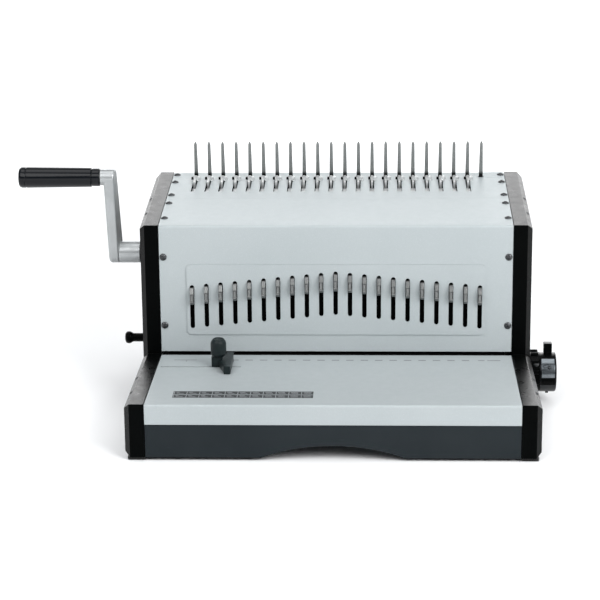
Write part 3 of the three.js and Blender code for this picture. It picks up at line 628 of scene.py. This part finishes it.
def lever_grip():
    """Turned black grip: a shoulder beside the boss, a slow taper and a domed, chamfered end."""
    inner, outer = machine_mm(GRIP_HIGH).x, machine_mm(GRIP_LOW).x
    bore_r = SPINDLE_R + 0.4
    profile = softened([
        (bore_r, inner), (8.5, inner), (8.9, inner - 0.5), (8.9, inner - 7.2), (8.5, inner - 7.5),
        (8.5, inner - 8.0), (9.6, inner - 8.4), (10.4, outer + 7.6), (10.0, outer + 7.2),
        (10.0, outer + 6.7), (10.4, outer + 6.3), (10.35, outer + 2.6), (9.5, outer + 0.7),
        (8.2, outer + 0.02), (0, outer)], 0.5, 3)
    bore = [(0, SPINDLE_END - 0.8), (bore_r, SPINDLE_END - 0.8), (bore_r, inner)]
    grip = lathe(bore + profile[1:], (0, GRIP.y, GRIP.z))
    piece = shown("lever_grip", to_mesh(grip, "lever_grip"), FINISH["gloss_black"], "grip", "gloss_black")
    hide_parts("handle_grip")


# ---------- knobs and edge guide ----------
def selector_knob():
    """A straight stem with a small mushroom head."""
    low, high = (machine_mm(p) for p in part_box("selector_knob"))
    axis = ((low.x + high.x) / 2, (low.y + high.y) / 2, (low.z + high.z) / 2)
    profile = softened([
        (0, high.x), (4.35, high.x), (4.35, -205.6), (5.6, -207.2), (6.35, -209.4), (5.8, -212.2),
        (3.6, low.x + 0.15), (0, low.x)], 1.2, 5)
    mesh = to_mesh(lathe(profile, axis), "selector_knob")
    piece = shown("selector_knob_fine", mesh, FINISH["black_plastic"], "selector", "black_plastic")
    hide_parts("selector_knob")


def edge_guide():
    """The guide and its clamp knob, a domed cap with fine grip flutes round the rim."""
    refined("edge_guide", (corner, 0.5, 3), material=GUIDE_BLACK)
    low, high = (machine_mm(p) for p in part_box("edge_guide_knob"))
    centre = ((low.x + high.x) / 2, (low.y + high.y) / 2, 0)
    cap_bottom = 65.5
    rim_bottom, rim_top = cap_bottom + 4.5, high.z - 3.4
    radius = (high.x - low.x) / 2
    profile = softened([
        (0, low.z), (2.2, low.z), (2.2, cap_bottom), (radius - 2.4, cap_bottom),
        (radius - 0.3, cap_bottom + 2.4), (radius, rim_bottom), (radius, rim_top), (radius - 2.6, high.z),
        (radius - 3.4, high.z), (radius - 4.0, high.z - 0.6), (0, high.z - 0.6)], 1.4, 6)
    bm = lathe(profile, centre, "Z", 120)
    flutes, flute_depth = 30, 0.02
    for vert in bm.verts:
        p = machine_mm(vert.co)
        out = Vector((p.x - centre[0], p.y - centre[1]))
        if out.length > radius - 0.5 and rim_bottom < p.z < rim_top:
            out *= 1 - flute_depth * (0.5 + 0.5 * math.cos(flutes * math.atan2(out.y, out.x)))
            vert.co = at(centre[0] + out.x, centre[1] + out.y, p.z)
    mesh = to_mesh(bm, "edge_guide_knob")
    piece = shown("edge_guide_knob_fine", mesh, GUIDE_BLACK, "clamp_knob", "black_plastic")
    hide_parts("edge_guide_knob")


def shell_sector(bm, axis, x0, x1, inner_r, outer_r, start, end, steps=24):
    """Adds part of a tube about an X axis, between two angles in degrees from the front, upward positive."""
    rows = []
    for i in range(steps + 1):
        a = math.radians(start + (end - start) * i / steps)
        c, sn = math.cos(a), math.sin(a)
        rows.append([bm.verts.new(at(x, axis[1] - r * c, axis[2] + r * sn))
                     for x, r in ((x0, inner_r), (x1, inner_r), (x1, outer_r), (x0, outer_r))])
    for first, second in zip(rows, rows[1:]):
        for i in range(4):
            bm.faces.new([first[i], first[(i + 1) % 4], second[(i + 1) % 4], second[i]])
    bm.faces.new(rows[0])
    bm.faces.new(rows[-1][::-1])


def facing_front(rise):
    """A direction from the dial's axis to the front, raised by some degrees."""
    angle = math.radians(rise)
    return Vector((0, -math.cos(angle), math.sin(angle)))


def ridge(name, axis, x0, x1, inner_r, outer_r, start, end, width, material, steps=24):
    """A raised strip round the dial's drum, with rounded edges."""
    bm = bmesh.new()
    shell_sector(bm, axis, x0, x1, inner_r, outer_r, start, end, steps)
    bevel(bm, corner, width, 2 if width < 0.5 else 3)
    shown(name, to_mesh(bm, name), material, "margin_dial")


def margin_dial():
    """The dial with its drum band, strips, nub and pin, and the lumpy ring behind it."""
    low, high = (machine_mm(p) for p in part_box("margin_collar"))
    axis = (0, (low.y + high.y) / 2, (low.z + high.z) / 2)
    refined("margin_collar", (corner, 0.35, 2))
    knob_low, knob_high = (machine_mm(p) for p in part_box("margin_knob"))
    radius = (knob_high.y - knob_low.y) / 2
    inner, outer = high.x + 0.3, knob_high.x
    profile = softened([
        (0, knob_low.x + 8), (4, knob_low.x + 8), (4, inner), (radius - 0.8, inner), (radius, inner + 0.6),
        (radius, inner + 1.2), (radius - 0.8, inner + 1.4), (radius - 0.8, outer - 1.7),
        (radius, outer - 1.5), (radius, outer - 0.8), (radius - 0.8, outer), (radius - 5.2, outer),
        (radius - 6, outer - 1.1), (0, outer - 1.1)], 0.3, 3)
    mesh = to_mesh(lathe(profile, axis), "margin_dial")
    piece = shown("margin_dial", mesh, FINISH["gloss_black"], "margin_dial", "gloss_black")
    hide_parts("margin_knob")
    band_in, band_out = inner + 1.5, outer - 1.8
    band = lathe(softened([(radius - 2, band_in), (radius - 0.4, band_in), (radius - 0.2, band_in + 0.3),
                           (radius - 0.2, band_out - 0.3), (radius - 0.4, band_out), (radius - 2, band_out),
                           (radius - 2, band_in)], 0.2, 3), axis)
    shown("margin_dial_band", to_mesh(band, "margin_dial_band"), POLISHED, "margin_dial")
    black = FINISH["black_plastic"]
    ridge("margin_dial_skirt", axis, inner + 0.3, outer - 0.6, radius - 2.5, radius - 0.05, -158, -2, 0.5,
          black)
    ridge("margin_dial_cap_strip", axis, inner + 0.2, outer - 0.4, radius - 2, radius + 0.15, 60, 120, 0.3,
          black, 12)
    ridge("margin_dial_shoe", axis, inner + 0.6, outer - 1.4, radius - 2.2, radius + 0.25, -150, -26, 0.8,
          SHOE_GREY)

    nub = bmesh.new()
    plate_block(nub, inner + 4.4, inner + 12.6, axis[1] - 4, axis[1] + 4, axis[2] + radius - 3, knob_high.z)
    bevel(nub, corner, 0.6, 3)
    shown("margin_dial_nub", to_mesh(nub, "margin_dial_nub"), black, "margin_dial")
    pin = bmesh.new()
    plate_block(pin, inner + 6.9, inner + 10, axis[1] - 1.5, axis[1] + 1.5, knob_low.z - 2.6, knob_low.z + 3)
    bevel(pin, corner, 0.4, 2)
    shown("margin_dial_pin", to_mesh(pin, "margin_dial_pin"), FINISH["gloss_black"], "margin_dial")

    out = facing_front(29)
    on_drum = at(inner + 9.4, axis[1], axis[2]) + out * (radius - 0.7) * MM
    place_screw("margin_dial_screw", recessed_head(2.0), on_drum, out, 0.4, FINISH["gloss_black"],
                "margin_dial")
    out = facing_front(40)
    collar_r = (high.y - low.y) / 2
    button = softened([(0, -1), (3.3, -1), (3.3, 0.5), (2.9, 1.4), (1.6, 2.0), (0, 2.1)], 0.6, 4)
    bm = lathe(button, (0, 0, 0), "Z", 40)
    turn = out.to_track_quat("Z", "Y").to_matrix()
    centre = at(high.x - 3.4, axis[1], axis[2]) + out * (collar_r - 2.6) * MM
    for vert in bm.verts:
        vert.co = turn @ (vert.co - at(0, 0, 0)) + centre
    shown("lock_ring_button", to_mesh(bm, "lock_ring_button"), FINISH["knob_black"], "lock_ring")


# ---------- screws ----------
def screw_head(name, radius):
    """Two meshes in millimetres: a domed head, and the tapering cross to be sunk into it."""
    steps, rings = 48, 7
    height = radius * 0.46
    bm = bmesh.new()
    base_z = -0.25

    def circle(r, z):
        angles = [2 * math.pi * i / steps for i in range(steps)]
        return [bm.verts.new((r * math.cos(a), r * math.sin(a), z)) for a in angles]

    rows = [circle(radius, base_z)]
    for ring_number in range(rings):
        angle = ring_number / rings * math.pi / 2
        rows.append(circle(radius * math.cos(angle), height * math.sin(angle)))
    bm.faces.new(rows[0][::-1])
    for first, second in zip(rows, rows[1:]):
        for i in range(steps):
            bm.faces.new([first[i], first[(i + 1) % steps], second[(i + 1) % steps], second[i]])
    top = bm.verts.new((0, 0, height))
    for i in range(steps):
        bm.faces.new([rows[-1][i], rows[-1][(i + 1) % steps], top])
    cross = bmesh.new()
    arm, half = radius * 0.60, radius * 0.15
    for size in ((arm, half), (half, arm)):
        block = bmesh.ops.create_cube(cross, size=1)["verts"]
        for vert in block:
            taper = 1.0 if vert.co.z > 0 else 0.55
            vert.co = Vector((vert.co.x * 2 * size[0] * taper, vert.co.y * 2 * size[1] * taper,
                              height * 0.30 + (vert.co.z + 0.5) * height))
    head, cutter = bpy.data.meshes.new(name), bpy.data.meshes.new(name + "_cross")
    bm.to_mesh(head)
    cross.to_mesh(cutter)
    bm.free()
    cross.free()
    return head, cutter


def recessed_head(radius):
    """The finished head mesh, made once and shared by every screw of that size."""
    head, cutter = screw_head(f"screw_{radius}", radius)
    body = bpy.data.objects.new("screw_body", head)
    tool = bpy.data.objects.new("screw_tool", cutter)
    for item in (body, tool):
        bpy.context.scene.collection.objects.link(item)
    boolean = body.modifiers.new("recess", "BOOLEAN")
    boolean.object = tool
    boolean.operation = "DIFFERENCE"
    boolean.solver = "EXACT"
    boolean.use_self = True
    bpy.context.view_layer.update()
    done = bpy.data.meshes.new_from_object(body.evaluated_get(bpy.context.evaluated_depsgraph_get()))
    for item in (body, tool):
        bpy.data.objects.remove(item)
    bm = bmesh.new()
    bm.from_mesh(done)
    for vert in bm.verts:
        vert.co *= MM
    return to_mesh(bm, f"screw_head_{radius}")


def place_screw(name, mesh, place, normal, turn, material, body="body"):
    """Puts a copy of a head at a place in the frame, pointing along normal."""
    piece = shown(name, mesh.copy(), material, body)
    piece.parent = None
    rotation = normal.to_track_quat("Z", "Y").to_matrix().to_4x4() @ Matrix.Rotation(turn, 4, "Z")
    piece.matrix_world = Matrix.Translation(place) @ rotation
    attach(piece, body)


def screws():
    """The covers' pan heads and the cheeks' small heads, each turned differently."""
    pan = recessed_head(3.6)
    small = recessed_head(2.2)
    deck_normal = Vector((0, -DECK_RISE, 1)).normalized()
    column = 170.9
    turn_step = 0.7
    sunk_y = machine_mm(REAR_HIGH).y - 0.95
    count = 0
    for side in (-1, 1):
        name = "left" if side < 0 else "right"
        for i, y in enumerate((184.3, 230, 255.8, 297.4, 321.8)):
            count += 1
            place_screw(f"{name}_deck_screw_{i + 1}", pan, at(side * column, y, deck_z(y) + 0.1),
                        deck_normal, turn_step * count, SCREW_STEEL)
        for i, z in enumerate((155.4, 85.2)):
            count += 1
            place_screw(f"{name}_panel_screw_{i + 1}", pan, at(side * column, PANEL_Y - 0.1, z),
                        Vector((0, -1, 0)), turn_step * count, SCREW_STEEL)
        for i, z in enumerate((60, 170)):
            count += 1
            place_screw(f"{name}_rear_screw_{i + 1}", pan, at(side * column, sunk_y, z),
                        Vector((0, 1, 0)), turn_step * count, SCREW_STEEL)
        # small screws on the chamfer of each cheek
        chamfer_x = COVER_HALF + 16.6
        for i, (y, z) in enumerate(((205, deck_z(205) - 2.4), (250, deck_z(250) - 2.4), (44, TABLE_TOP - 2.3),
                                    (88, TABLE_TOP - 2.3))):
            count += 1
            place_screw(f"{name}_cheek_screw_{i + 1}", small, at(side * chamfer_x, y, z),
                        Vector((side, 0, 1)).normalized(), turn_step * count, SCREW_STEEL)


# ---------- printing on the table ----------
INK = 0.03                        # each layer of ink stands this far off the one under it


def printed(name, patches, material, layer):
    """Thin raised patches of ink on the table, given as (x0, x1, y0, y1)."""
    bm = bmesh.new()
    for x0, x1, y0, y1 in patches:
        plate_block(bm, x0, x1, y0, y1, TABLE_TOP - 0.02, TABLE_TOP + INK * (layer + 1))
    shown(name, to_mesh(bm, name), material, "body")


def table_print():
    """Generic marks only: a dash at every hole, end marks, and an unlettered two-row chart."""
    dashes = [((i - 10) * PITCH - 3.7, (i - 10) * PITCH + 3.7, 140.6, 143.4) for i in range(2, 20)]
    dashes += [(-160.5, -138, 141.2, 143.0), (141.0, 147.5, 140.8, 143.2), (150, 163, 140.8, 143.2)]
    dashes += [(-148.2, -147.4, 136.4, 140.6)]
    printed("hole_dashes", dashes, PRINT_GREY, 0)
    left, right, rows = -150.7, -18.5, ((21.6, 30.6), (31.8, 41.2))
    cells = 11
    step = (right - left) / cells
    chart, marks = [], []
    for low, high in rows:
        chart.append((left, right, low, high))
        middle = (low + high) / 2
        for i in range(cells):
            start = left + i * step
            share = 0.35 + 0.6 * i / cells
            marks.append((start + 0.6, start + 1.2, low + 0.8, high - 0.8))
            marks.append((start + 2.8, start + 2.8 + 8.2 * share, middle + 1.0, middle + 2.2))
            marks.append((start + 3.4, start + 9.8, middle - 2.0, middle - 1.2))
    printed("size_chart", chart, PRINT_DARK, 0)
    printed("size_chart_marks", marks, PRINT_PALE, 1)


# ---------- plain nodes that only need their finish ----------
def finish_cad_nodes():
    """Gives every CAD node the finish of its slot."""
    for name, node in frame["nodes"].items():
        node.data.materials.clear()
        node.data.materials.append(FINISH[SLOT_OF[name]])


# ---------- stage, light and camera ----------
def area_light(name, place, target, size, power):
    """A soft box of size metres and power watts, aimed at target."""
    data = bpy.data.lights.new(name, "AREA")
    data.shape = "RECTANGLE"
    data.size, data.size_y = size
    data.energy = power
    light = bpy.data.objects.new(name, data)
    bpy.context.scene.collection.objects.link(light)
    light.location = place
    light.rotation_mode = "QUATERNION"
    light.rotation_quaternion = (Vector(target) - Vector(place)).to_track_quat("-Z", "Y")


def stage():
    """Pale floor, dim world, three soft boxes in front and above, and a wide screen behind."""
    floor_mesh = bpy.data.meshes.new("floor")
    reach = 40.0
    corners = [(-reach, -reach, 0), (reach, -reach, 0), (reach, reach, 0), (-reach, reach, 0)]
    floor_mesh.from_pydata(corners, [], [(0, 1, 2, 3)])
    floor = bpy.data.objects.new("floor", floor_mesh)
    bpy.context.scene.collection.objects.link(floor)
    n = Nodes("floor_paper")
    base = n.blend(n.spread(n.noise(3, 2), 0, 1), (0.92, 0.925, 0.93), (0.94, 0.945, 0.95))
    # beyond the lamps' reach the paper glows, so that it stays pale up to the horizon
    distance = n.add("ShaderNodeVectorMath", operation="LENGTH")
    n.link(n.where, distance.inputs[0])
    glow = n.blend(n.spread(distance.outputs["Value"], 0, 1, 0.9, 1.9), (0, 0, 0), (1, 1, 1))
    n.link(glow, n.shader.inputs["Emission Color"])
    floor_mesh.materials.append(n.finish(base, n.spread(n.noise(20, 2), 0.75, 0.85),
                                         n.bump(n.noise(400, 2), 0.0001, 0.2), Emission_Strength=0.8))
    world = bpy.data.worlds.new("studio")
    world.use_nodes = True
    background = world.node_tree.nodes["Background"]
    background.inputs["Color"].default_value = (0.93, 0.96, 1.0, 1)
    background.inputs["Strength"].default_value = 0.30
    bpy.context.scene.world = world
    middle = at(0, 170, 100)
    area_light("key", middle + Vector((-1.0, -1.35, 1.35)), middle, (1.5, 1.2), 19)
    area_light("fill", middle + Vector((1.3, -1.4, 1.2)), middle, (1.3, 1.2), 44)
    area_light("overhead", middle + Vector((0, -0.1, 1.9)), middle, (1.8, 1.2), 14)
    area_light("back_screen", middle + Vector((0, 3.7, 1.55)), middle + Vector((0, 0, 0.4)), (7.0, 2.6), 150)
    bpy.context.scene.view_settings.view_transform = "Standard"


def camera():
    """A long lens in front of the machine, a little above it and to the right, aimed slightly to the left."""
    pitch, yaw, roll = math.radians(15.31), math.radians(2.246), 0.001
    data = bpy.data.cameras.new("camera")
    data.sensor_width = 36
    data.lens = 119.1042
    data.shift_y = -0.001
    data.clip_start, data.clip_end = 0.05, 50
    right = Vector((1, 0, 0))
    up = Vector((0, math.sin(pitch), math.cos(pitch)))
    ahead = Vector((0, math.cos(pitch), -math.sin(pitch)))

    def turned(first, second, angle):
        return (first * math.cos(angle) + second * math.sin(angle),
                second * math.cos(angle) - first * math.sin(angle))

    right, ahead = turned(right, ahead, yaw)
    right, up = turned(right, up, roll)
    place = at(41.93, -1740.77, 632.97)
    view = bpy.data.objects.new("camera", data)
    view.matrix_world = Matrix((
        (right.x, up.x, -ahead.x, place.x), (right.y, up.y, -ahead.y, place.y),
        (right.z, up.z, -ahead.z, place.z), (0, 0, 0, 1)))
    bpy.context.scene.collection.objects.link(view)
    bpy.context.scene.camera = view


finish_cad_nodes()
covers()
comb_parts()
lever_arm()
lever_grip()
selector_knob()
edge_guide()
margin_dial()
screws()
table_print()
stage()
camera()
